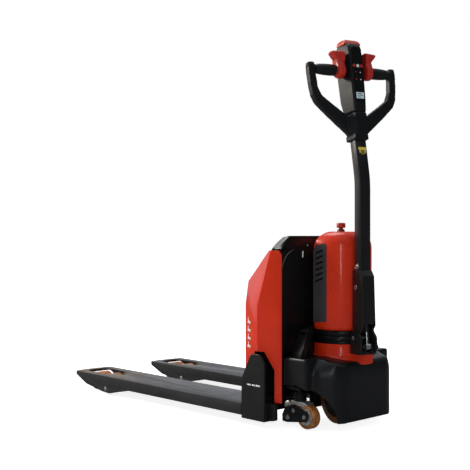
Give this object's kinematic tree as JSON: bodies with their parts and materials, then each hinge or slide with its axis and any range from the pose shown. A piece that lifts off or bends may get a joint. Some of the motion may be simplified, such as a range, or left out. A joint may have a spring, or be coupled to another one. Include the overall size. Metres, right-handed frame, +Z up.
{
  "type": "electric pallet truck",
  "caption": "Walk-behind electric pallet truck with lifting forks, battery box, steered drive wheel, casters and a tilting tiller with control handle.",
  "frame": {"origin": "middle of the bounding box at floor level, with the forks lowered and the tiller upright", "axes": "+X towards the operator, along the forks; +Z up; +Y across the truck to its far side"},
  "size_m": [1.3842, 0.563, 1.278],
  "materials": {
    "aluminium_fins": "satin",
    "battery_case": "matte",
    "black_cover": "satin",
    "black_plastic": "matte",
    "black_steel": "satin",
    "bright_steel": "polished",
    "cast_core": "rough",
    "display_face": "gloss",
    "polyurethane": "satin",
    "pump_grey": "satin",
    "red_cover": "gloss",
    "red_plastic": "gloss",
    "rubber_grip": "matte",
    "skirt_black": "satin",
    "vent_grey": "matte",
    "yellow_plastic": "matte",
    "zinc": "satin"
  },
  "bodies": {
    "chassis": {"chassis_frame": "black_steel", "drive_skirt": "skirt_black", "hood": "red_cover", "hood_mount": "black_cover", "collar_seat": "black_cover", "vent_panels": "vent_grey", "lower_ring": "red_cover", "side_brackets": "black_steel", "lift_cylinder": "black_steel", "pump_unit": "pump_grey", "controller": "aluminium_fins", "estop_base": "yellow_plastic", "caster_spring_cups": "black_plastic"},
    "fork_frame": {"fork_near": "black_steel", "fork_far": "black_steel", "heels": "black_steel", "link_pins": "zinc", "fork_yoke": "black_steel", "front_cover": "red_cover", "battery_box": "black_cover", "battery": "battery_case", "lift_piston": "bright_steel"},
    "lid": {"battery_lid": "black_cover"},
    "rocker": {"rocker": "black_steel"},
    "steering": {"steering_turret": "cast_core", "drive_axle": "bright_steel", "traction_motor": "pump_grey", "steering_collar": "black_cover", "tiller_bracket": "black_steel"},
    "drive_wheel": {"drive_tyre": "polyurethane", "drive_core": "cast_core"},
    "tiller": {"tiller_channel": "black_steel", "tiller_tube": "black_steel", "tiller_bolts": "zinc", "handle_loop": "black_plastic", "grips": "rubber_grip", "handle_pod": "black_plastic", "display": "display_face"},
    "gas_spring": {"spring_body": "black_steel"},
    "gas_spring_rod": {"spring_rod": "bright_steel"},
    "wings": {"throttle_wings": "red_plastic"},
    "lift_button": {"lift_button": "red_plastic"},
    "horn_button": {"horn_button": "black_plastic"},
    "lower_button": {"lower_button": "black_plastic"},
    "belly_button": {"belly_button": "red_plastic"},
    "estop_knob": {"estop_knob": "red_plastic"},
    "push_rod_near": {"push_rod_near": "bright_steel"},
    "roller_link_near": {"roller_link_near": "black_steel"},
    "roller_carrier_near": {"roller_carrier_near": "black_steel"},
    "load_roller_front_near": {"load_roller_front_near": "polyurethane"},
    "load_roller_rear_near": {"load_roller_rear_near": "polyurethane"},
    "caster_fork_near": {"caster_fork_near": "black_steel"},
    "caster_wheel_near": {"caster_wheel_near": "polyurethane"},
    "push_rod_far": {"push_rod_far": "bright_steel"},
    "roller_link_far": {"roller_link_far": "black_steel"},
    "roller_carrier_far": {"roller_carrier_far": "black_steel"},
    "load_roller_front_far": {"load_roller_front_far": "polyurethane"},
    "load_roller_rear_far": {"load_roller_rear_far": "polyurethane"},
    "caster_fork_far": {"caster_fork_far": "black_steel"},
    "caster_wheel_far": {"caster_wheel_far": "polyurethane"}
  },
  "joints": [
    {"name": "lift", "type": "slide", "parent": "chassis", "child": "fork_frame", "axis": [0, 0, 1], "range_m": [0, 0.1]},
    {"name": "steer", "type": "hinge", "parent": "chassis", "child": "steering", "pos_m": [0.52489, 0, 0.09], "axis": [0, 0, 1], "range_deg": [-57.5, 92.5]},
    {"name": "drive_spin", "type": "hinge", "parent": "steering", "child": "drive_wheel", "pos_m": [0.52489, 0, 0.09], "axis": [0.3007, 0.9537, 0], "continuous": true},
    {"name": "tilt", "type": "hinge", "parent": "steering", "child": "tiller", "pos_m": [0.63934, -0.03608, 0.297], "axis": [0.3007, 0.9537, 0], "range_deg": [0, 75], "stiffness_Nm_per_rad": 60, "springref_deg": -17.19},
    {"name": "spring_turn", "type": "hinge", "parent": "steering", "child": "gas_spring", "pos_m": [0.67272, -0.04661, 0.272], "axis": [0.3007, 0.9537, 0], "range_deg": [0, 72.31]},
    {"name": "spring_stroke", "type": "slide", "parent": "gas_spring", "child": "gas_spring_rod", "axis": [-0.1045, 0.0329, 0.994], "range_m": [-0.05228, 0]},
    {"name": "throttle", "type": "hinge", "parent": "tiller", "child": "wings", "pos_m": [0.58491, -0.01892, 1.20323], "axis": [0.3007, 0.9537, 0], "range_deg": [-20, 20], "stiffness_Nm_per_rad": 0.6},
    {"name": "lift_press", "type": "slide", "parent": "tiller", "child": "lift_button", "axis": [-0.942, 0.297, -0.1564], "range_m": [0, 0.0025], "stiffness_N_per_m": 600},
    {"name": "horn_press", "type": "slide", "parent": "tiller", "child": "horn_button", "axis": [-0.942, 0.297, -0.1564], "range_m": [0, 0.0025], "stiffness_N_per_m": 600},
    {"name": "lower_press", "type": "slide", "parent": "tiller", "child": "lower_button", "axis": [-0.942, 0.297, -0.1564], "range_m": [0, 0.0025], "stiffness_N_per_m": 600},
    {"name": "belly_press", "type": "slide", "parent": "tiller", "child": "belly_button", "axis": [0.1492, -0.047, -0.9877], "range_m": [0, 0.006], "stiffness_N_per_m": 500},
    {"name": "estop_press", "type": "slide", "parent": "chassis", "child": "estop_knob", "axis": [0, 0, -1], "range_m": [0, 0.0045]},
    {"name": "lid_open", "type": "hinge", "parent": "fork_frame", "child": "lid", "pos_m": [0.45789, 0, 0.622], "axis": [0, 1, 0], "range_deg": [0, 70]},
    {"name": "rocker_turn", "type": "hinge", "parent": "fork_frame", "child": "rocker", "pos_m": [0.37289, 0, 0.086], "axis": [0, 1, 0], "range_deg": [0, 63.68]},
    {"name": "push_slide_near", "type": "slide", "parent": "fork_frame", "child": "push_rod_near", "axis": [-1, 0, 0], "range_m": [0, 0.03174]},
    {"name": "link_turn_near", "type": "hinge", "parent": "fork_frame", "child": "roller_link_near", "pos_m": [-0.44111, -0.194, 0.026], "axis": [0, -1, 0], "range_deg": [0, 63.68]},
    {"name": "carrier_level_near", "type": "hinge", "parent": "roller_link_near", "child": "roller_carrier_near", "pos_m": [-0.54711, -0.194, 0.035], "axis": [0, 1, 0], "range_deg": [0, 63.68]},
    {"name": "roller_front_near_spin", "type": "hinge", "parent": "roller_carrier_near", "child": "load_roller_front_near", "pos_m": [-0.58611, -0.194, 0.035], "axis": [0, 1, 0], "continuous": true},
    {"name": "roller_rear_near_spin", "type": "hinge", "parent": "roller_carrier_near", "child": "load_roller_rear_near", "pos_m": [-0.50811, -0.194, 0.035], "axis": [0, 1, 0], "continuous": true},
    {"name": "caster_swivel_near", "type": "hinge", "parent": "chassis", "child": "caster_fork_near", "pos_m": [0.48989, -0.166, 0.09], "axis": [0, 0, 1], "continuous": true},
    {"name": "caster_spin_near", "type": "hinge", "parent": "caster_fork_near", "child": "caster_wheel_near", "pos_m": [0.52789, -0.166, 0.043], "axis": [0, 1, 0], "continuous": true},
    {"name": "push_slide_far", "type": "slide", "parent": "fork_frame", "child": "push_rod_far", "axis": [-1, 0, 0], "range_m": [0, 0.03174]},
    {"name": "link_turn_far", "type": "hinge", "parent": "fork_frame", "child": "roller_link_far", "pos_m": [-0.44111, 0.194, 0.026], "axis": [0, -1, 0], "range_deg": [0, 63.68]},
    {"name": "carrier_level_far", "type": "hinge", "parent": "roller_link_far", "child": "roller_carrier_far", "pos_m": [-0.54711, 0.194, 0.035], "axis": [0, 1, 0], "range_deg": [0, 63.68]},
    {"name": "roller_front_far_spin", "type": "hinge", "parent": "roller_carrier_far", "child": "load_roller_front_far", "pos_m": [-0.58611, 0.194, 0.035], "axis": [0, 1, 0], "continuous": true},
    {"name": "roller_rear_far_spin", "type": "hinge", "parent": "roller_carrier_far", "child": "load_roller_rear_far", "pos_m": [-0.50811, 0.194, 0.035], "axis": [0, 1, 0], "continuous": true},
    {"name": "caster_swivel_far", "type": "hinge", "parent": "chassis", "child": "caster_fork_far", "pos_m": [0.48989, 0.166, 0.09], "axis": [0, 0, 1], "continuous": true},
    {"name": "caster_spin_far", "type": "hinge", "parent": "caster_fork_far", "child": "caster_wheel_far", "pos_m": [0.52789, 0.166, 0.043], "axis": [0, 1, 0], "continuous": true}
  ],
  "couplings": [
    {"joint": "spring_turn", "follows": "tilt", "ratio": 0.9635},
    {"joint": "spring_stroke", "follows": "tilt", "m_per_rad": -0.03986},
    {"joint": "rocker_turn", "follows": "lift", "rad_per_m": 11.11},
    {"joint": "push_slide_near", "follows": "lift", "ratio": 0.31643},
    {"joint": "link_turn_near", "follows": "lift", "rad_per_m": 11.11},
    {"joint": "carrier_level_near", "follows": "lift", "rad_per_m": 11.11},
    {"joint": "push_slide_far", "follows": "lift", "ratio": 0.31643},
    {"joint": "link_turn_far", "follows": "lift", "rad_per_m": 11.11},
    {"joint": "carrier_level_far", "follows": "lift", "rad_per_m": 11.11}
  ]
}
